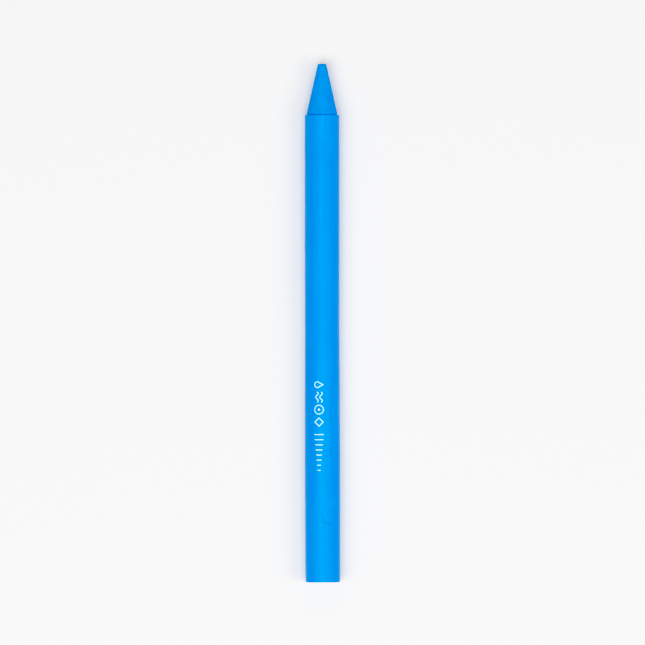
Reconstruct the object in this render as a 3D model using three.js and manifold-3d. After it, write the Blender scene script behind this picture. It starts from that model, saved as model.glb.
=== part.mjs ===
// A round all-core crayon: a coloured wax-and-resin stick with a blunt turned point, inside a thin plastic
// sleeve of the same colour that stops short of the cone and leaves a small step there, with a row of small
// ornaments printed on the sleeve in white ink.
//
// Millimetres. The crayon lies on a table: +Y runs along it towards the point, +Z is up, and the origin is
// on the table, under the middle of the crayon's length.

import * as THREE from "three";
import { mergeVertices } from "three/addons/utils/BufferGeometryUtils.js";
import Module from "manifold-3d";

const wasm = await Module();
wasm.setup();

// Driving dimensions.
const length = 120.7; // from the back end to the point
const barrelRadius = 4.0;
const sleeveWall = 0.35;
const coneLength = 11.9; // the bare cone, from the sleeve's front edge to the point
const pointRadius = 0.97; // where the cone would meet the end face if its corner were sharp
const pointFillet = 0.3;
const lipFillet = 0.14; // the sleeve's front outer edge
const backChamfer = 0.07; // the sleeve's back outer edge
const fitGap = 0.01; // clearance between two pieces that touch on the real crayon
const facets = 32; // around the barrel; one edge between two of them touches the table
const arcSteps = 6; // straight pieces in a small rounded corner

// The printed row. It starts nearest the cone and runs towards the back end: four ornaments, then a scale of
// bars that get shorter.
const inkThickness = 0.03;
const stroke = 0.3; // the width of every printed line
const printFacetsOff = 1; // the row is this many facets round from the top of the barrel, towards -X
const rowStart = -13.2; // Y of the row's first edge
const ornamentSize = 2.3; // across the barrel, and along it
const ornamentPitch = 2.9;
const dropRadius = 0.78;
const waveHeight = 0.27;
const wavesPerLine = 1.5;
const waveOffset = 0.48; // each of the two waves, from the row's middle
const scaleGap = 1.6; // between the last ornament and the first bar
const bars = 8;
const barPitch = 1.19;
const shortestBar = 0.75; // the first bar is as long as ornamentSize
const outlineSteps = 40; // straight pieces in a printed ring, drop or wave

// Worked out from the dimensions above.
const pointY = length / 2;
const backY = -length / 2;
const shoulderY = pointY - coneLength;
const boreRadius = barrelRadius - sleeveWall;
const coreRadius = boreRadius - fitGap;

const wax = new THREE.MeshStandardMaterial({ color: 0x0098f0, roughness: 0.6, metalness: 0 });
const plastic = new THREE.MeshStandardMaterial({ color: 0x00a0f9, roughness: 0.38, metalness: 0 });
const ink = new THREE.MeshStandardMaterial({ color: 0xf2f8fb, roughness: 0.5, metalness: 0 });

function arc(x, y, radius, from, to, steps) {
  return new THREE.Path().absarc(x, y, radius, from, to).getPoints(steps);
}

// A turned solid about the Y axis, from points of (radius, y) that run up its outside.
function turned(profile) {
  return new THREE.LatheGeometry(profile, facets);
}

function coreStick() {
  const slope = Math.atan((coreRadius - pointRadius) / coneLength);
  // The fillet's centre is one fillet radius behind the end face and one inside the cone's side.
  const filletY = pointY - pointFillet;
  const filletX = pointRadius + pointFillet * (Math.tan(slope) - 1 / Math.cos(slope));
  return turned([
    new THREE.Vector2(0, backY),
    new THREE.Vector2(coreRadius, backY),
    new THREE.Vector2(coreRadius, shoulderY),
    ...arc(filletX, filletY, pointFillet, slope, Math.PI / 2, arcSteps),
    new THREE.Vector2(0, pointY),
  ]);
}

function barrelSleeve() {
  const backEdge = new THREE.Vector2(barrelRadius - backChamfer, backY);
  return turned([
    backEdge,
    new THREE.Vector2(barrelRadius, backY + backChamfer),
    ...arc(barrelRadius - lipFillet, shoulderY - lipFillet, lipFillet, 0, Math.PI / 2, arcSteps),
    new THREE.Vector2(boreRadius, shoulderY),
    new THREE.Vector2(boreRadius, backY),
    backEdge.clone(),
  ]);
}

// A closed geometry as a manifold-3d solid.
function solidOf(geometry) {
  const bare = geometry.clone();
  bare.deleteAttribute("normal");
  bare.deleteAttribute("uv");
  const merged = mergeVertices(bare, 1e-5);
  const mesh = new wasm.Mesh({
    numProp: 3,
    vertProperties: new Float32Array(merged.attributes.position.array),
    triVerts: new Uint32Array(merged.index.array),
  });
  return new wasm.Manifold(mesh);
}

function geometryOf(solid) {
  const mesh = solid.getMesh();
  const geometry = new THREE.BufferGeometry();
  geometry.setAttribute("position", new THREE.BufferAttribute(mesh.vertProperties, 3));
  geometry.setIndex(new THREE.BufferAttribute(mesh.triVerts, 1));
  geometry.computeVertexNormals();
  return geometry;
}

// A tube that just clears the barrel: every printed mark is cut from it.
function inkFilm() {
  const inner = barrelRadius + fitGap;
  const outer = inner + inkThickness;
  return solidOf(
    turned([
      new THREE.Vector2(inner, backY),
      new THREE.Vector2(outer, backY),
      new THREE.Vector2(outer, shoulderY),
      new THREE.Vector2(inner, shoulderY),
      new THREE.Vector2(inner, backY),
    ]),
  );
}

const film = inkFilm();

// A flat shape, drawn with X across the barrel and Y along it, laid on the top of the barrel at (x, y).
function printed(shape, x, y) {
  const prism = new THREE.ExtrudeGeometry(shape, { depth: 2 * barrelRadius, bevelEnabled: false });
  prism.translate(x, y, 0);
  return geometryOf(solidOf(prism).intersect(film));
}

// A closed line, one stroke wide. outline(radius) gives the outline whose inscribed circle has that radius,
// about the origin, so the line's inner edge is the outline of the circle one stroke smaller.
function closedLine(outline, radius) {
  const shape = new THREE.Shape(outline(radius));
  shape.holes.push(new THREE.Path(outline(radius - stroke)));
  return shape;
}

function circle(radius) {
  return arc(0, 0, radius, 0, 2 * Math.PI, outlineSteps).slice(0, -1);
}

// A square on one of its corners.
function diamond(radius) {
  const reach = radius * Math.SQRT2;
  return [
    new THREE.Vector2(reach, 0),
    new THREE.Vector2(0, reach),
    new THREE.Vector2(-reach, 0),
    new THREE.Vector2(0, -reach),
  ];
}

// A circle, and the two tangents from its point towards +X.
function drop(radius) {
  const pointX = (radius * (ornamentSize - dropRadius)) / dropRadius;
  const tangent = Math.acos(radius / pointX);
  return [new THREE.Vector2(pointX, 0), ...arc(0, 0, radius, tangent, 2 * Math.PI - tangent, outlineSteps)];
}

// A wavy line along the barrel.
function wave() {
  const edge = (side) =>
    Array.from({ length: outlineSteps + 1 }, (_, k) => {
      const phase = (2 * Math.PI * wavesPerLine * k) / outlineSteps;
      const tilt = Math.atan(((2 * Math.PI * wavesPerLine * waveHeight) / ornamentSize) * Math.cos(phase));
      const middle = new THREE.Vector2(waveHeight * Math.sin(phase), (k / outlineSteps - 0.5) * ornamentSize);
      const across = new THREE.Vector2(Math.cos(tilt), -Math.sin(tilt));
      return middle.addScaledVector(across, (side * stroke) / 2);
    });
  return new THREE.Shape([...edge(1), ...edge(-1).reverse()]);
}

// A straight line across the barrel, with round ends.
function bar(barLength) {
  const reach = (barLength - stroke) / 2;
  return new THREE.Shape()
    .absarc(reach, 0, stroke / 2, -Math.PI / 2, Math.PI / 2)
    .absarc(-reach, 0, stroke / 2, Math.PI / 2, (3 * Math.PI) / 2);
}

function named(name, geometry, material) {
  const mesh = new THREE.Mesh(geometry, material);
  mesh.name = name;
  return mesh;
}

const crayon = new THREE.Group();
crayon.position.z = barrelRadius;
crayon.add(named("core_stick", coreStick(), wax));
crayon.add(named("barrel_sleeve", barrelSleeve(), plastic));

const print = new THREE.Group();
print.rotation.y = (-printFacetsOff * 2 * Math.PI) / facets;
crayon.add(print);

// The marks of each ornament, from the cone's end, as [name, shape, x].
const ornaments = [
  [["ink_drop", closedLine(drop, dropRadius), dropRadius - ornamentSize / 2]],
  [
    ["ink_wave_left", wave(), -waveOffset],
    ["ink_wave_right", wave(), waveOffset],
  ],
  [
    ["ink_ring", closedLine(circle, ornamentSize / 2), 0],
    ["ink_dot", new THREE.Shape(circle(stroke)), 0],
  ],
  [["ink_diamond", closedLine(diamond, ornamentSize / 2 / Math.SQRT2), 0]],
];
ornaments.forEach((marks, k) => {
  const y = rowStart - ornamentSize / 2 - k * ornamentPitch;
  for (const [name, shape, x] of marks) print.add(named(name, printed(shape, x, y), ink));
});

const scaleStart = rowStart - ornamentSize - (ornaments.length - 1) * ornamentPitch - scaleGap;
for (let k = 0; k < bars; k++) {
  const barLength = THREE.MathUtils.lerp(ornamentSize, shortestBar, k / (bars - 1));
  const y = scaleStart - stroke / 2 - k * barPitch;
  print.add(named(`ink_bar_${k + 1}`, printed(bar(barLength), 0, y), ink));
}

export default crayon;
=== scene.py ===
# A round all-core crayon on a pale table: a coloured wax stick with a blunt turned point, inside a thin
# plastic sleeve of the same colour, with a row of small ornaments printed on the sleeve in white ink.
#
# Metres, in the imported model's frame: +Y runs along the crayon towards its point, +Z is up, and the table
# is under the crayon. Angles around the crayon are measured from straight up, towards +X.

import math

import bmesh
import bpy
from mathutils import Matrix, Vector, noise


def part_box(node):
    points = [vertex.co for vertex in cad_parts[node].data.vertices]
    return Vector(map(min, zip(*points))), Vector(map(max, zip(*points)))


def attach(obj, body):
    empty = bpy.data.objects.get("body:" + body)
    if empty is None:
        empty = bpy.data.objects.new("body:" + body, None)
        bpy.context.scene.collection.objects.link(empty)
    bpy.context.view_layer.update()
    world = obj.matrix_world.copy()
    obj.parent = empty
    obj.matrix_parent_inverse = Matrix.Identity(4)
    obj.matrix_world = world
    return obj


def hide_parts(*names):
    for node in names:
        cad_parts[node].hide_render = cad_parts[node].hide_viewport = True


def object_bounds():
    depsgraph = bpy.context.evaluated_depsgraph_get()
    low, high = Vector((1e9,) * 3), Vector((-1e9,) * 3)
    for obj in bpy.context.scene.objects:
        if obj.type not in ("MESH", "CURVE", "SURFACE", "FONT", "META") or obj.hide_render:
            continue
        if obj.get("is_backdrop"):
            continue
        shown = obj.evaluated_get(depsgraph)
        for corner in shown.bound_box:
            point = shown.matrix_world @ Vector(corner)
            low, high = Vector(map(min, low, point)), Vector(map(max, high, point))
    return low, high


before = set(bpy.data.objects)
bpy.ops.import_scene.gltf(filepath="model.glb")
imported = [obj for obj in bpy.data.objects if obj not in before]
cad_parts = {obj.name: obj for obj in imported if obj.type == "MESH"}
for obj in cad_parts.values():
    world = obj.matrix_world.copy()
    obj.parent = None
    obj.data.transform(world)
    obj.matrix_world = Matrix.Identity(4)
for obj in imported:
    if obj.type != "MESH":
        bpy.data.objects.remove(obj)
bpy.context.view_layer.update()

MM = 0.001
TAU = 2 * math.pi

# ---------------------------------------------------------------------------------------------------------
# Sizes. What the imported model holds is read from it.

core_low, core_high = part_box("core_stick")
sleeve_low, sleeve_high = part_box("barrel_sleeve")

BACK = core_low.y
POINT = core_high.y
SHOULDER = sleeve_high.y
AXIS_HEIGHT = (sleeve_low.z + sleeve_high.z) / 2
BARREL_RADIUS = (sleeve_high.x - sleeve_low.x) / 2
CORE_RADIUS = core_high.x
FIT_GAP = 0.01 * MM  # between the core and the sleeve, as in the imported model
BORE_RADIUS = CORE_RADIUS + FIT_GAP

SEGMENTS = 216  # around the crayon
# Its depth share also sets how much painted shade darkens each scuff and chip.
WEAR_AND_SHADE = "wear_and_shade"  # the vertex attribute that says how deep a scuff or a chip is
CORNER_STEPS = 5  # faces in a small rounded edge
INNER_STEPS = 12  # faces along the bore, and along the part of the core that it hides
COARSE_STEP, FINE_STEP = 0.6 * MM, 0.12 * MM  # between rings of the barrel: plain, and with detail

# The barrel isn't a perfect cylinder: it is waisted in the middle, fatter towards the back, and bowed.
WAIST_Y, WAIST_REACH, WAIST = -0.5 * MM, 12 * MM, -0.035 * MM
SWELL_Y, SWELL_REACH, SWELL = -34.2 * MM, 17 * MM, 0.065 * MM
EVEN_SWELL = 0.022 * MM
BOW_Y, BOW_REACH, BOW = -5.95 * MM, 54.4 * MM, -0.057 * MM

# Its moulded surface: long draw lines, slow waves, and a little ovality.
DRAW_LINE_HEIGHT = 0.0045 * MM
DRAW_LINE_WIDTH = 0.75 * MM
DRAW_LINE_LENGTH = 40 * MM
FINE_LINE_HEIGHT = 0.0012 * MM
FINE_LINE_WIDTH = 0.28 * MM
FINE_LINE_LENGTH = 25 * MM
WAVE_HEIGHT = 0.009 * MM
WAVE_WIDTH = 4 * MM
WAVE_LENGTH = 9 * MM
OVALITY = 0.008 * MM
OVALITY_TURN = 0.6  # radians

LIP_FILLET = 0.14 * MM
NECK_REACH, NECK = 0.17 * MM, 0.15 * MM  # the groove that the turning knife left in the core, by the lip
BACK_FILLET = 0.07 * MM
BORE_BEVEL = 0.045 * MM  # on the sleeve's two inner edges, which leaves a fine dark line round the core
BACK_GROOVE_Y, BACK_GROOVE_REACH, BACK_GROOVE = 0.62 * MM, 0.16 * MM, -0.018 * MM  # from the back end
BACK_TAPER_REACH, BACK_TAPER = 0.4 * MM, 0.020 * MM
BACK_DETAIL = 1.6 * MM  # how far from the back end the rings lie close together

# Scuffs in the sleeve: (angle in degrees, y, length, half width, depth, heading in degrees from +Y).
SCUFFS = [
    (-1.3, -45.0 * MM, 2.5 * MM, 0.15 * MM, 0.045 * MM, -18),
    (14.5, -46.5 * MM, 3.3 * MM, 0.16 * MM, 0.050 * MM, -72),
    (1.0, -47.6 * MM, 1.2 * MM, 0.14 * MM, 0.022 * MM, 90),
    (29.0, 36.8 * MM, 1.8 * MM, 0.17 * MM, 0.045 * MM, 85),
    (42.0, 39.8 * MM, 1.2 * MM, 0.15 * MM, 0.028 * MM, 80),
    (-49.0, 25.7 * MM, 1.8 * MM, 0.18 * MM, 0.035 * MM, -6),
    (-63.0, -35.9 * MM, 1.5 * MM, 0.16 * MM, 0.028 * MM, 60),
    (112, -12.0 * MM, 5.5 * MM, 0.14 * MM, 0.020 * MM, 8),
    (-128, 8.5 * MM, 3.4 * MM, 0.15 * MM, 0.025 * MM, -30),
    (158, -30.0 * MM, 4.2 * MM, 0.15 * MM, 0.020 * MM, 55),
]
# The scuffs' darker colour is painted shade, deepest at this depth.
SCUFF_FULL = 0.035 * MM  # a scuff this deep is as dark and as rough as one gets

# The turned cone and the blunt point.
POINT_RADIUS = 0.97 * MM
POINT_FILLET = 0.3 * MM
POINT_DOME = 0.05 * MM
TURNING_HEIGHT = 0.0040 * MM
TURNING_WIDTH = 0.26 * MM
WAX_HEIGHT = 0.007 * MM
WAX_WIDTH = 1.1 * MM

# Crumbs broken out of the point: (angle in degrees, distance back from the point along Y, radius, depth).
CHIPS = [
    (3, 0.33 * MM, 0.22 * MM, 0.070 * MM),
    (-40, 0.85 * MM, 0.20 * MM, 0.045 * MM),
    (24, 1.15 * MM, 0.20 * MM, 0.035 * MM),
    (-44, 3.70 * MM, 0.24 * MM, 0.030 * MM),
    (75, 0.60 * MM, 0.28 * MM, 0.050 * MM),
    (140, 0.90 * MM, 0.24 * MM, 0.040 * MM),
    (-120, 0.50 * MM, 0.30 * MM, 0.050 * MM),
    (190, 1.90 * MM, 0.18 * MM, 0.025 * MM),
]
# The chips' darker colour is painted shade, deepest at this depth.
CHIP_FULL = 0.05 * MM  # a chip this deep is as dark as one gets

# The cut back end of the core.
CUT_RECESS = 0.045 * MM
CUT_RIM = 0.25 * MM  # width of the smooth rim round it
CUT_MARK_HEIGHT = 0.022 * MM
CUT_MARK_WIDTH = 0.36 * MM
CUT_CENTRE = Vector((9 * MM, -4 * MM))  # the saw's centre, seen on the end face

# The printed film.
INK_GAP = 0.001 * MM
INK_HEIGHT = 0.014 * MM
INK_EDGE = 0.035 * MM  # width of its rounded rim
STROKE = 0.25 * MM  # the width of a printed line


# ---------------------------------------------------------------------------------------------------------
# Surfaces.

def bell(value, middle, reach):
    """1 at the middle, falling smoothly to 0 on both sides."""
    return math.exp(-(((value - middle) / reach) ** 2))


def smooth(value):
    """Rises smoothly from 0 to 1 as value does."""
    t = min(max(value, 0.0), 1.0)
    return t * t * (3 - 2 * t)


def axis_point(y):
    """The middle of the crayon at y. It bows a little to the side."""
    bow = BOW * (1 - ((y - BOW_Y) / BOW_REACH) ** 2)
    return Vector((bow, y, AXIS_HEIGHT))


def around(y, radius, angle):
    """The point at that radius and angle, in the section at y."""
    middle = axis_point(y)
    return middle + radius * Vector((math.sin(angle), 0, math.cos(angle)))


def streaks(angle, y, width, length):
    """Noise in long streaks along the crayon."""
    reach = BARREL_RADIUS / width
    return noise.noise(Vector((reach * math.sin(angle), reach * math.cos(angle), y / length)))


def scuff_depth(angle, y, radius=None):
    """How deep the scuffs are there. The radius, which chip_depth needs, makes no difference to them."""
    depth = 0.0
    for degrees, middle_y, length, half_width, deep, heading in SCUFFS:
        away = y - middle_y
        if abs(away) > length:
            continue
        turn = (angle - math.radians(degrees) + math.pi) % TAU - math.pi
        across = BARREL_RADIUS * turn
        lean = math.radians(heading)
        along = away * math.cos(lean) + across * math.sin(lean)
        aside = across * math.cos(lean) - away * math.sin(lean)
        ends = smooth((length / 2 - abs(along)) / (0.3 * length))
        depth += deep * ends * bell(aside, 0, half_width)
    return depth


def barrel_radius(angle, y):
    """The sleeve's outer radius, without its rounded edges."""
    shape = EVEN_SWELL + WAIST * bell(y, WAIST_Y, WAIST_REACH) + SWELL * bell(y, SWELL_Y, SWELL_REACH)
    lines = DRAW_LINE_HEIGHT * streaks(angle, y, DRAW_LINE_WIDTH, DRAW_LINE_LENGTH)
    fine = FINE_LINE_HEIGHT * streaks(angle, y, FINE_LINE_WIDTH, FINE_LINE_LENGTH)
    waves = WAVE_HEIGHT * streaks(angle, y, WAVE_WIDTH, WAVE_LENGTH)
    oval = OVALITY * math.cos(2 * angle + OVALITY_TURN)
    groove = BACK_GROOVE * bell(y - BACK, BACK_GROOVE_Y, BACK_GROOVE_REACH)
    taper = BACK_TAPER * max(0, 1 - (y - BACK) / BACK_TAPER_REACH) ** 2
    return BARREL_RADIUS + shape + lines + fine + waves + oval + groove - taper - scuff_depth(angle, y)


def chip_depth(angle, y, radius):
    """How deep the chips are there."""
    sideways = Vector((math.sin(angle), math.cos(angle)))
    depth = 0.0
    for degrees, behind, size, deep in CHIPS:
        turn = (angle - math.radians(degrees) + math.pi) % TAU - math.pi
        far = math.hypot(radius * turn, y - (POINT - behind))
        ragged = size * (1 + 0.25 * noise.noise(Vector((*(4 * sideways), y / (0.3 * MM)))))
        depth += deep * smooth(1.3 - far / ragged)
    return depth


def wax_relief(angle, y, radius):
    """How far the turned wax stands out from its cone: fine turning marks, soft unevenness and chips."""
    sideways = Vector((math.sin(angle), math.cos(angle)))
    turning = TURNING_HEIGHT * noise.noise(Vector((*(0.7 * sideways), y / TURNING_WIDTH)))
    spot = radius / WAX_WIDTH * sideways
    uneven = WAX_HEIGHT * noise.noise(Vector((*spot, y / (2 * WAX_WIDTH))))
    return turning + uneven - chip_depth(angle, y, radius)


def cut_relief(x, z):
    """How far the sawn end of the core stands back from the sleeve's end."""
    far = (Vector((x, z)) - CUT_CENTRE).length
    marks = noise.noise(Vector((far / CUT_MARK_WIDTH, 0.4 * x / MM, 0.4 * z / MM)))
    grain = noise.noise(Vector((x / (0.5 * MM), z / (0.5 * MM), 7.0)))
    return CUT_RECESS + CUT_MARK_HEIGHT * (marks + 0.6 * grain)


# ---------------------------------------------------------------------------------------------------------
# Meshes.

def piece(name, mesh_data, material, node):
    """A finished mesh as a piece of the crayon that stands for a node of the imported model."""
    mesh = bpy.data.meshes.new(name)
    bmesh.ops.recalc_face_normals(mesh_data, faces=mesh_data.faces)
    mesh_data.to_mesh(mesh)
    mesh_data.free()
    mesh.shade_smooth()
    mesh.materials.append(material)
    made = bpy.data.objects.new(name, mesh)
    bpy.context.scene.collection.objects.link(made)
    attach(made, "root")
    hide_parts(node)
    return made


def skin(mesh_data, rings, closed):
    """Faces between neighbouring rings of vertices, and from the last ring to the first if closed.
    A ring of one vertex is a pole."""
    pairs = list(zip(rings, rings[1:]))
    if closed:
        pairs.append((rings[-1], rings[0]))
    for ring, following in pairs:
        count = max(len(ring), len(following))
        for k in range(count):
            after = (k + 1) % count
            if len(ring) == 1:
                mesh_data.faces.new((ring[0], following[after], following[k]))
            elif len(following) == 1:
                mesh_data.faces.new((ring[k], ring[after], following[0]))
            else:
                mesh_data.faces.new((ring[k], ring[after], following[after], following[k]))


def turned(profile):
    """A turned body. Each entry of the profile is a function of the angle that gives a point, or one point,
    which is a pole."""
    mesh_data = bmesh.new()
    rings = []
    for station in profile:
        if isinstance(station, Vector):
            rings.append([mesh_data.verts.new(station)])
            continue
        rings.append([mesh_data.verts.new(station(TAU * k / SEGMENTS)) for k in range(SEGMENTS)])
    return mesh_data, rings


def mark_wear_and_shade(mesh_data, depth, deepest):
    """Stores on each vertex how deep the scuff or chip is there, from 0 to 1, for the material: its painted
    shade, and a scuff's roughness.
    """
    layer = mesh_data.verts.layers.float.new(WEAR_AND_SHADE)
    for vertex in mesh_data.verts:
        away = vertex.co - axis_point(vertex.co.y)
        angle = math.atan2(away.x, away.z)
        vertex[layer] = min(1.0, depth(angle, vertex.co.y, away.length) / deepest)


def corner(middle_r, middle_y, fillet, start, end):
    """(radius, y) along a rounded edge. Angles in degrees are from +radius towards +Y."""
    for k in range(CORNER_STEPS + 1):
        angle = math.radians(start + (end - start) * k / CORNER_STEPS)
        yield middle_r + fillet * math.cos(angle), middle_y + fillet * math.sin(angle)


def stations(low, high, coarse, fine, busy):
    """Values of y from low to high, closer together within the busy spans."""
    values = [low]
    while values[-1] < high - fine:
        y = values[-1]
        step = fine if any(start < y < end for start, end in busy) else coarse
        values.append(min(high, y + step))
    return values[1:-1]


# ---------------------------------------------------------------------------------------------------------
# Materials.

# Base colours, as linear light.
SLEEVE_DEEP, SLEEVE_PALE = (0, 0.268, 0.86), (0, 0.283, 0.895)
SLEEVE_STREAK = (0, 0.25, 0.84)
SLEEVE_HANDLED = (0, 0.305, 0.91)
SLEEVE_HAIRLINE = (0.01, 0.36, 0.94)
# The paler ends of the sleeve: partly rubbed plastic, partly a painted highlight on the rounded edges.
SLEEVE_EDGE_WEAR_AND_HIGHLIGHT = (0.01, 0.37, 0.92)
# Painted shade: the colour that scuffs and chips are darkened towards, as a groove in them would be shaded.
RECESS_SHADE = (0, 0.19, 0.72)
WAX_DEEP, WAX_PALE = (0, 0.268, 0.86), (0, 0.310, 0.91)
WAX_RING = (0, 0.25, 0.83)
WAX_SPECK = (0, 0.17, 0.68)
INK_THICK, INK_THIN = (0.50, 0.86, 0.92), (0.25, 0.70, 0.90)
TABLE_DARK, TABLE_LIGHT = (0.889, 0.886, 0.880), (0.909, 0.906, 0.900)

BLUE_SHEEN = (0.05, 0.95, 1, 1)  # the tint of the crayon's gloss
SLEEVE_IOR, WAX_IOR = 1.47, 1.45
# The paler end strips are partly rubbed plastic and partly a painted highlight.
EDGE_WEAR_AND_HIGHLIGHT = 0.35 * MM  # width of the paler strip at each end of the sleeve
SPECK_REACH = 4 * MM  # how far back from the point the specks are stronger


class Look:
    """A Principled material whose patterns are made from the object's own coordinates."""

    def __init__(self, name):
        self.material = bpy.data.materials.new(name)
        self.material.use_nodes = True
        self.nodes = self.material.node_tree.nodes
        self.links = self.material.node_tree.links
        self.shader = self.nodes["Principled BSDF"]
        self.place = self.nodes.new("ShaderNodeTexCoord").outputs["Object"]

    def set(self, socket, value):
        self.shader.inputs[socket].default_value = value

    def feed(self, socket, output):
        self.links.new(output, self.shader.inputs[socket])

    def stretched(self, x, y, z):
        """The object's coordinates, scaled along each axis."""
        node = self.nodes.new("ShaderNodeMapping")
        node.inputs["Scale"].default_value = (x, y, z)
        self.links.new(self.place, node.inputs["Vector"])
        return node.outputs["Vector"]

    def noise(self, size, detail=2.0, place=None):
        """Noise from 0 to 1, whose features are about that size, in metres."""
        node = self.nodes.new("ShaderNodeTexNoise")
        node.inputs["Scale"].default_value = 1 / size
        node.inputs["Detail"].default_value = detail
        self.links.new(place or self.place, node.inputs["Vector"])
        return node.outputs["Fac"]

    def ramp(self, value, low, high, at_low, at_high):
        """The value from low to high, as a number from at_low to at_high."""
        node = self.nodes.new("ShaderNodeMapRange")
        node.interpolation_type = "SMOOTHSTEP"
        for socket, number in zip(("From Min", "From Max", "To Min", "To Max"), (low, high, at_low, at_high)):
            node.inputs[socket].default_value = number
        self.links.new(value, node.inputs["Value"])
        return node.outputs["Result"]

    def math(self, operation, a, b):
        node = self.nodes.new("ShaderNodeMath")
        node.operation = operation
        for socket, value in zip(node.inputs, (a, b)):
            if isinstance(value, (int, float)):
                socket.default_value = value
            else:
                self.links.new(value, socket)
        return node.outputs["Value"]

    def mix(self, share, a, b):
        """Colour a, turning into colour b as share goes from 0 to 1."""
        node = self.nodes.new("ShaderNodeMix")
        node.data_type = "RGBA"
        self.links.new(share, node.inputs["Factor"])
        for socket, value in zip(("A", "B"), (a, b)):
            target = [s for s in node.inputs if s.name == socket and s.type == "RGBA"][0]
            if isinstance(value, tuple):
                target.default_value = (*value, 1)
            else:
                self.links.new(value, target)
        return [s for s in node.outputs if s.type == "RGBA"][0]

    def along(self):
        """The y of the point, in metres."""
        node = self.nodes.new("ShaderNodeSeparateXYZ")
        self.links.new(self.place, node.inputs["Vector"])
        return node.outputs["Y"]

    def wear_and_shade(self):
        """How deep the scuff or chip is there, from 0 to 1, which sets how much painted shade darkens it."""
        node = self.nodes.new("ShaderNodeAttribute")
        node.attribute_name = WEAR_AND_SHADE
        return node.outputs["Fac"]

    def bump(self, height, distance, under=None):
        """A normal bent by the height, whose 0 to 1 is that distance."""
        node = self.nodes.new("ShaderNodeBump")
        node.inputs["Distance"].default_value = distance
        self.links.new(height, node.inputs["Height"])
        if under is not None:
            self.links.new(under, node.inputs["Normal"])
        return node.outputs["Normal"]


def sleeve_look():
    """Satin plastic, drawn along its length: streaks, mottling, handling marks, scuffs darkened with painted
    shade, and pale edges that are partly rubbed plastic and partly a painted highlight.
    """
    look = Look("satin_plastic")
    streak = look.noise(0.55 * MM, 2, look.stretched(1, 0.02, 1))
    mottle = look.noise(7 * MM, 3)
    colour = look.mix(look.ramp(mottle, 0.3, 0.7, 0, 1), SLEEVE_DEEP, SLEEVE_PALE)
    colour = look.mix(look.ramp(streak, 0.35, 0.7, 0, 0.7), colour, SLEEVE_STREAK)
    handled = look.ramp(look.noise(4.5 * MM, 4), 0.52, 0.72, 0, 1)
    colour = look.mix(look.math("MULTIPLY", handled, 0.4), colour, SLEEVE_HANDLED)
    hairline = look.ramp(look.noise(0.34 * MM, 1, look.stretched(1, 0.035, 1)), 0.68, 0.78, 0, 1)
    colour = look.mix(look.math("MULTIPLY", hairline, 0.6), colour, SLEEVE_HAIRLINE)
    y = look.along()
    # Paler strips at both ends: partly rubbed plastic, partly a painted highlight where the rounded edge
    # catches the light.
    lip_wear_and_highlight = look.ramp(y, SHOULDER - EDGE_WEAR_AND_HIGHLIGHT, SHOULDER, 0, 1)
    back_wear_and_highlight = look.ramp(y, BACK + EDGE_WEAR_AND_HIGHLIGHT, BACK, 0, 1)
    nicks = look.ramp(look.noise(0.35 * MM, 3), 0.42, 0.62, 0.25, 1)
    edge_wear_and_highlight = look.math("MULTIPLY", look.math("MAXIMUM", lip_wear_and_highlight, back_wear_and_highlight), nicks)
    colour = look.mix(look.math("MULTIPLY", edge_wear_and_highlight, 0.4), colour, SLEEVE_EDGE_WEAR_AND_HIGHLIGHT)
    # Painted shade: each scuff is darkened by its depth, as its groove would be shaded; it is also made
    # rougher.
    scuffs_and_shade = look.wear_and_shade()
    colour = look.mix(look.math("MULTIPLY", scuffs_and_shade, 0.45), colour, RECESS_SHADE)
    look.feed("Base Color", colour)

    grain = look.noise(0.4 * MM, 2)
    rough = look.math("ADD", look.ramp(streak, 0.3, 0.7, 0.40, 0.46), look.math("MULTIPLY", handled, 0.07))
    rough = look.math("ADD", rough, look.math("MULTIPLY", scuffs_and_shade, 0.12))
    look.feed("Roughness", look.math("ADD", rough, look.ramp(grain, 0.3, 0.7, -0.02, 0.02)))
    scratched = look.bump(hairline, -0.004 * MM)
    look.feed("Normal", look.bump(grain, 0.005 * MM, scratched))
    look.set("Specular Tint", BLUE_SHEEN)
    look.set("IOR", SLEEVE_IOR)
    return look.material


def wax_look():
    """Matte wax and resin: clouded pigment, turning marks round the cone, darker specks, and chips darkened
    with painted shade.
    """
    look = Look("matte_wax")
    cloud = look.noise(2.2 * MM, 4)
    colour = look.mix(look.ramp(cloud, 0.3, 0.7, 0, 1), WAX_DEEP, WAX_PALE)
    turning = look.noise(0.3 * MM, 2, look.stretched(0.08, 1, 0.08))
    colour = look.mix(look.ramp(turning, 0.45, 0.7, 0, 0.7), colour, WAX_RING)
    specks = look.ramp(look.noise(0.32 * MM, 1), 0.68, 0.76, 0, 1)
    near_point = look.ramp(look.along(), POINT - SPECK_REACH, POINT, 0.1, 0.8)
    colour = look.mix(look.math("MULTIPLY", specks, near_point), colour, WAX_SPECK)
    # Painted shade: each chip is darkened by its depth, as its hollow would be shaded.
    colour = look.mix(look.math("MULTIPLY", look.wear_and_shade(), 0.7), colour, RECESS_SHADE)
    look.feed("Base Color", colour)

    grain = look.noise(0.33 * MM, 3)
    look.feed("Roughness", look.ramp(grain, 0.25, 0.75, 0.52, 0.64))
    rings = look.bump(turning, 0.008 * MM)
    look.feed("Normal", look.bump(grain, 0.014 * MM, rings))
    look.set("Specular Tint", BLUE_SHEEN)
    look.set("IOR", WAX_IOR)
    return look.material


def ink_look():
    """Thin white ink: the blue shows through it, and more so in patches."""
    look = Look("white_ink")
    thin = look.ramp(look.noise(0.3 * MM, 3), 0.56, 0.74, 0, 0.45)
    look.feed("Base Color", look.mix(thin, INK_THICK, INK_THIN))
    look.feed("Roughness", look.ramp(look.noise(0.3 * MM, 2), 0.3, 0.7, 0.44, 0.56))
    look.feed("Normal", look.bump(look.noise(0.3 * MM, 2), 0.003 * MM))
    return look.material


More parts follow.
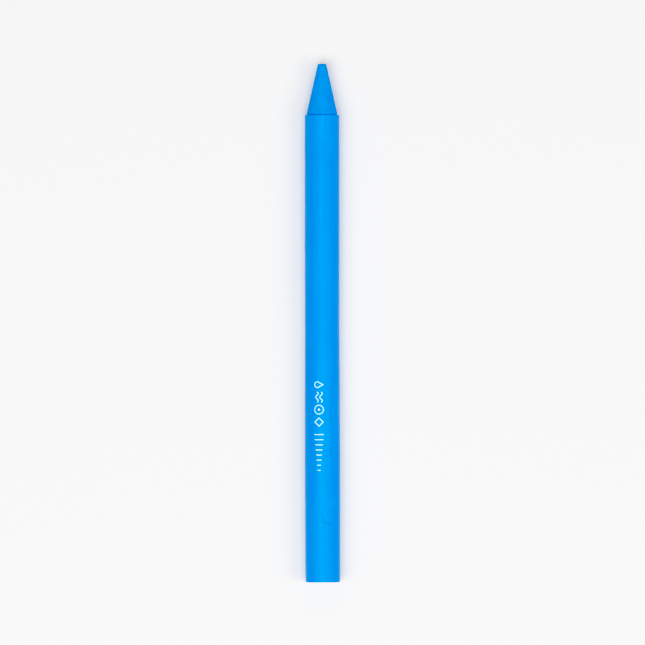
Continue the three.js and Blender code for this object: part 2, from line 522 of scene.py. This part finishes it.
def table_look():
    """A plain pale tabletop with a barely visible tooth."""
    look = Look("pale_table")
    tooth = look.noise(0.8 * MM, 4)
    look.feed("Base Color", look.mix(tooth, TABLE_DARK, TABLE_LIGHT))
    look.set("Roughness", 0.8)
    look.feed("Normal", look.bump(tooth, 0.01 * MM))
    look.set("Specular IOR Level", 0.2)
    return look.material


# ---------------------------------------------------------------------------------------------------------
# The two turned pieces.

def outer_ring(y, inset=0.0):
    """The barrel's outside at y, or that much inside it."""
    return lambda angle: around(y, barrel_radius(angle, y) - inset, angle)


def plain_ring(y, radius):
    """An even circle at y."""
    return lambda angle: around(y, radius, angle)


def barrel_sleeve():
    busy = [(y - 0.6 * length, y + 0.6 * length) for _, y, length, *_ in SCUFFS]
    busy.append((BACK, BACK + BACK_DETAIL))
    profile = [plain_ring(BACK, BORE_RADIUS + BORE_BEVEL)]
    for radius, y in corner(-BACK_FILLET, BACK + BACK_FILLET, BACK_FILLET, -90, 0):
        profile.append(outer_ring(y, -radius))
    for y in stations(BACK + BACK_FILLET, SHOULDER - LIP_FILLET, COARSE_STEP, FINE_STEP, busy):
        profile.append(outer_ring(y))
    for radius, y in corner(-LIP_FILLET, SHOULDER - LIP_FILLET, LIP_FILLET, 0, 90):
        profile.append(outer_ring(y, -radius))
    profile.append(plain_ring(SHOULDER, BORE_RADIUS + BORE_BEVEL))
    profile.append(plain_ring(SHOULDER - BORE_BEVEL, BORE_RADIUS))
    for k in range(1, INNER_STEPS):
        profile.append(plain_ring(SHOULDER + (BACK - SHOULDER) * k / INNER_STEPS, BORE_RADIUS))
    profile.append(plain_ring(BACK + BORE_BEVEL, BORE_RADIUS))
    mesh_data, rings = turned(profile)
    skin(mesh_data, rings, closed=True)
    mark_wear_and_shade(mesh_data, scuff_depth, SCUFF_FULL)
    return mesh_data


def core_stick():
    slope = math.atan((CORE_RADIUS - POINT_RADIUS) / (POINT - SHOULDER))
    fillet_y = POINT - POINT_DOME - POINT_FILLET
    fillet_r = POINT_RADIUS + POINT_FILLET * (math.tan(slope) - 1 / math.cos(slope))

    def end_ring(radius):
        def point(angle):
            x, z = radius * math.sin(angle), radius * math.cos(angle)
            rim = smooth((CORE_RADIUS - radius) / CUT_RIM)
            return around(BACK + CUT_RECESS * (1 - rim) + rim * cut_relief(x, z), radius, angle)

        return point

    def cone_ring(radius, y):
        neck = NECK * bell(y, SHOULDER, NECK_REACH)
        return lambda angle: around(y, radius - neck + wax_relief(angle, y, radius), angle)

    face_steps = 34
    cone_steps = 230
    dome_steps = 9
    profile = [around(BACK + cut_relief(0, 0), 0, 0)]
    for k in range(1, face_steps + 1):
        profile.append(end_ring((CORE_RADIUS - BORE_BEVEL) * k / face_steps))
    profile.append(plain_ring(BACK + CUT_RECESS + BORE_BEVEL, CORE_RADIUS))
    for k in range(1, INNER_STEPS):
        profile.append(plain_ring(BACK + (SHOULDER - BACK) * k / INNER_STEPS, CORE_RADIUS))
    profile.append(plain_ring(SHOULDER - 0.1 * MM, CORE_RADIUS))
    side_end_y = fillet_y + POINT_FILLET * math.sin(slope)
    side_end_r = fillet_r + POINT_FILLET * math.cos(slope)
    for k in range(cone_steps + 1):
        share = k / cone_steps
        y = SHOULDER + (side_end_y - SHOULDER) * share
        profile.append(cone_ring(CORE_RADIUS + (side_end_r - CORE_RADIUS) * share, y))
    for radius, y in corner(fillet_r, fillet_y, POINT_FILLET, math.degrees(slope), 90):
        profile.append(cone_ring(radius, y))
    for k in range(1, dome_steps):
        share = 1 - k / dome_steps
        y = POINT - POINT_DOME * share * share
        profile.append(cone_ring(fillet_r * share, y))
    profile.append(around(POINT, 0, 0))
    mesh_data, rings = turned(profile)
    skin(mesh_data, rings, closed=False)
    mark_wear_and_shade(mesh_data, chip_depth, CHIP_FULL)
    return mesh_data


# ---------------------------------------------------------------------------------------------------------
# The printed marks. Each is drawn flat, with x across the barrel and y along it, and pressed straight down
# onto the barrel, as seen along the row's own upward direction.

def row_angle():
    """The angle of the printed row, from the middle of the first bar."""
    corners = [v.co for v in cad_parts["ink_bar_1"].data.vertices]
    across = sum(c.x for c in corners) / len(corners)
    up = sum(c.z for c in corners) / len(corners) - AXIS_HEIGHT
    return math.atan2(across, up)


ROW_ANGLE = row_angle()


def drawn_box(node):
    """The flat drawing's lowest and highest corner for a printed node."""
    flat = []
    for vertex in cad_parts[node].data.vertices:
        x, y, z = vertex.co
        z -= AXIS_HEIGHT
        flat.append((x * math.cos(ROW_ANGLE) - z * math.sin(ROW_ANGLE), y))
    low = Vector((min(x for x, _ in flat), min(y for _, y in flat)))
    high = Vector((max(x for x, _ in flat), max(y for _, y in flat)))
    return low, high


def pressed(x, y, height):
    """A point of the flat drawing, at that height above the barrel."""
    angle = ROW_ANGLE + math.asin(x / BARREL_RADIUS)
    return around(y, barrel_radius(angle, y) + height, angle)


def film_height(edge_distance):
    """The film's thickness, which falls towards its edge."""
    return INK_HEIGHT * (0.25 + 0.75 * smooth(edge_distance / INK_EDGE))


def film(rows, closed):
    """A closed film from rows of (flat point, distance to the edge). The first and last entry of each row are
    at the film's edges."""
    mesh_data = bmesh.new()
    sections = []
    for row in rows:
        top = [mesh_data.verts.new(pressed(p.x, p.y, film_height(edge))) for p, edge in row]
        under = [mesh_data.verts.new(pressed(p.x, p.y, INK_GAP)) for p, _ in reversed(row)]
        sections.append(top + under)
    skin(mesh_data, sections, closed)
    if not closed:
        mesh_data.faces.new(sections[0])
        mesh_data.faces.new(sections[-1])
    return mesh_data


# Where a stroke's points lie, from one edge (-1) to the other (1).
ACROSS = (-1, -0.9, -0.76, -0.4, 0, 0.4, 0.76, 0.9, 1)


def closed_line(outline, centre, radius):
    """A closed line. outline is the shape whose inscribed circle has the radius 1."""
    rows = []
    for direction in outline:
        row = []
        for share in ACROSS:
            reach = radius - STROKE / 2 * (1 - share)
            row.append((centre + reach * direction, STROKE / 2 * (1 - abs(share))))
        rows.append(row)
    return film(rows, closed=True)


def open_line(points):
    """A line with round ends along the points, which are its middle, from end to end."""
    rows = []
    lengths = [0.0]
    for before, after in zip(points, points[1:]):
        lengths.append(lengths[-1] + (after - before).length)
    for k, point in enumerate(points):
        ahead = points[min(k + 1, len(points) - 1)] - points[max(k - 1, 0)]
        side = Vector((ahead.y, -ahead.x)).normalized()
        from_end = min(lengths[k], lengths[-1] - lengths[k])
        inside = max(STROKE / 2 - from_end, 0)
        half = max(math.sqrt(max((STROKE / 2) ** 2 - inside ** 2, 0)), 0.02 * STROKE)
        row = []
        for share in ACROSS:
            edge = min(half * (1 - abs(share)), from_end)
            row.append((point + half * share * side, edge))
        rows.append(row)
    return film(rows, closed=False)


def spread_evenly(start, end):
    """Points from start to end, close together near both ends, where the line is rounded."""
    count = 24
    shares = [0.5 - 0.5 * math.cos(math.pi * k / count) for k in range(count + 1)]
    return [start.lerp(end, share) for share in shares]


def circle(count=72):
    return [Vector((math.cos(TAU * k / count), math.sin(TAU * k / count))) for k in range(count)]


def filled_disc(centre, radius):
    mesh_data = bmesh.new()
    rings = [[mesh_data.verts.new(pressed(centre.x, centre.y, film_height(radius)))]]
    for share in (0.3, 0.6, 0.8, 0.92, 1):
        edge = film_height(radius * (1 - share))
        spots = [centre + radius * share * direction for direction in circle(48)]
        rings.append([mesh_data.verts.new(pressed(p.x, p.y, edge)) for p in spots])
    under = [centre + radius * direction for direction in circle(48)]
    rings.append([mesh_data.verts.new(pressed(p.x, p.y, INK_GAP)) for p in under])
    rings.append([mesh_data.verts.new(pressed(centre.x, centre.y, INK_GAP))])
    skin(mesh_data, rings, closed=False)
    return mesh_data


def drop_outline(point_reach):
    """A circle of radius 1, and its two tangents from the point at (point_reach, 0)."""
    count = 22
    tangent = math.acos(1 / point_reach)
    touch = Vector((math.cos(tangent), math.sin(tangent)))
    point = Vector((point_reach, 0))
    outline = [point.lerp(touch, k / count) for k in range(count)]
    turn = TAU - 2 * tangent
    for k in range(2 * count + 1):
        angle = tangent + turn * k / (2 * count)
        outline.append(Vector((math.cos(angle), math.sin(angle))))
    touch = Vector((math.cos(tangent), -math.sin(tangent)))
    outline += [touch.lerp(point, k / count) for k in range(1, count)]
    return outline


def diamond_outline():
    count = 16
    reach = math.sqrt(2)
    corners = [Vector((reach, 0)), Vector((0, reach)), Vector((-reach, 0)), Vector((0, -reach))]
    outline = []
    for before, after in zip(corners, corners[1:] + corners[:1]):
        outline += [before.lerp(after, k / count) for k in range(count)]
    return outline


def printed_drop(low, high):
    radius = (high.y - low.y) / 2
    centre = Vector((low.x + radius, (low.y + high.y) / 2))
    return closed_line(drop_outline((high.x - centre.x) / radius), centre, radius)


def printed_wave(low, high):
    count = 90
    waves = 1.5
    height = (high.x - low.x - STROKE) / 2
    start, end = low.y + 0.1 * STROKE, high.y - 0.1 * STROKE
    middle = (low.x + high.x) / 2
    points = []
    for k in range(count + 1):
        share = 0.5 - 0.5 * math.cos(math.pi * k / count)
        across = middle + height * math.sin(TAU * waves * share)
        points.append(Vector((across, start + (end - start) * share)))
    return open_line(points)


def printed_ring(low, high):
    return closed_line(circle(), (low + high) / 2, (high.y - low.y) / 2)


def printed_dot(low, high):
    return filled_disc((low + high) / 2, (high.y - low.y) / 2)


def printed_diamond(low, high):
    return closed_line(diamond_outline(), (low + high) / 2, (high.y - low.y) / 2 / math.sqrt(2))


def printed_bar(low, high):
    middle = (low.y + high.y) / 2
    return open_line(spread_evenly(Vector((low.x, middle)), Vector((high.x, middle))))


MARKS = {
    "ink_drop": printed_drop,
    "ink_wave_left": printed_wave,
    "ink_wave_right": printed_wave,
    "ink_ring": printed_ring,
    "ink_dot": printed_dot,
    "ink_diamond": printed_diamond,
}
MARKS.update({node: printed_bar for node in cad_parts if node.startswith("ink_bar_")})


# ---------------------------------------------------------------------------------------------------------
# The crayon.

piece("sleeve_skin", barrel_sleeve(), sleeve_look(), "barrel_sleeve")
piece("wax_core", core_stick(), wax_look(), "core_stick")
white_ink = ink_look()
for node, draw in MARKS.items():
    piece(node.replace("ink_", "print_"), draw(*drawn_box(node)), white_ink, node)


# ---------------------------------------------------------------------------------------------------------
# The table, the lights and the camera.

TABLE_SIZE = 8.0
VIEW_WIDTH = 0.1502  # what the picture's width shows, at the height of the crayon's axis
LENS = 800  # millimetres, on the standard sensor of 36
SENSOR = 36
FARTHEST_SEEN = 20
CAMERA_SHIFT = Vector((0.00002, 0.00011))  # sideways, so that the crayon isn't quite in the middle
CAMERA_ROLL = math.radians(-0.105)

SKY_STRENGTH = 0.2455

# The soft boxes, which are turned to the crayon: (name, place, width, depth, power in watts).
SOFT_BOXES = [
    ("key_box", (0, -0.27, 1.0), 0.60, 0.56, 5.8),
    ("left_box", (-0.52, -0.27, 1.0), 0.40, 0.56, 3.2),
    ("right_box", (0.81, -0.27, 1.0), 0.48, 0.60, 4.3),
    ("back_box", (0, 1.0, 1.0), 0.60, 0.42, 1.4),
]

# The camera's response, which is assumed. The tone curve is (light as a share of the whitest, shown). The red
# curve comes after it.
WHITEST = 1.25
TONE_CURVE = ((0, 0), (0.24, 0.30), (0.48, 0.63), (0.64, 0.80), (0.80, 0.925), (1, 1))
RED_CURVE = ((0, 0), (0.028, 0), (0.09, 0.068), (0.2, 0.19), (0.5, 0.5), (1, 1))


def table():
    """A flat tabletop that touches the crayon's lowest point."""
    mesh_data = bmesh.new()
    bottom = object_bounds()[0].z
    steps = 8
    grid = [
        [
            mesh_data.verts.new((TABLE_SIZE * (i / steps - 0.5), TABLE_SIZE * (j / steps - 0.5), bottom))
            for i in range(steps + 1)
        ]
        for j in range(steps + 1)
    ]
    for j in range(steps):
        for i in range(steps):
            mesh_data.faces.new((grid[j][i], grid[j][i + 1], grid[j + 1][i + 1], grid[j + 1][i]))
    mesh = bpy.data.meshes.new("table")
    mesh_data.to_mesh(mesh)
    mesh_data.free()
    mesh.materials.append(table_look())
    made = bpy.data.objects.new("table", mesh)
    bpy.context.scene.collection.objects.link(made)
    made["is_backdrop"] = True


def soft_box(name, place, width, depth, power):
    light = bpy.data.lights.new(name, "AREA")
    light.shape = "RECTANGLE"
    light.size = width
    light.size_y = depth
    light.energy = power
    made = bpy.data.objects.new(name, light)
    made.location = place
    made.rotation_mode = "QUATERNION"
    made.rotation_quaternion = (Vector((0, 0, 0)) - Vector(place)).to_track_quat("-Z", "Y")
    made.visible_camera = False
    bpy.context.scene.collection.objects.link(made)


def sky(strength):
    world = bpy.data.worlds.new("studio")
    world.use_nodes = True
    background = world.node_tree.nodes["Background"]
    background.inputs["Color"].default_value = (1, 1, 1, 1)
    background.inputs["Strength"].default_value = strength
    bpy.context.scene.world = world


def camera():
    data = bpy.data.cameras.new("camera")
    data.lens = LENS
    data.sensor_width = SENSOR
    data.clip_end = FARTHEST_SEEN
    made = bpy.data.objects.new("camera", data)
    made.location = (CAMERA_SHIFT.x, CAMERA_SHIFT.y, AXIS_HEIGHT + VIEW_WIDTH * LENS / SENSOR)
    made.rotation_euler = (0, 0, CAMERA_ROLL)
    bpy.context.scene.collection.objects.link(made)
    bpy.context.scene.camera = made


def camera_response():
    """A camera's response: light above white is rolled off, and a red too faint for it is lost."""
    settings = bpy.context.scene.view_settings
    settings.view_transform = "Standard"
    settings.use_curve_mapping = True
    mapping = settings.curve_mapping
    mapping.white_level = (WHITEST, WHITEST, WHITEST)
    for curve, points in ((mapping.curves[3], TONE_CURVE), (mapping.curves[0], RED_CURVE)):
        while len(curve.points) < len(points):
            curve.points.new(0.5, 0.5)
        for point, (light, shown) in zip(curve.points, points):
            point.location = (light, shown)
            point.handle_type = "AUTO_CLAMPED"
    mapping.update()


table()
sky(SKY_STRENGTH)
for soft in SOFT_BOXES:
    soft_box(*soft)
camera()
camera_response()
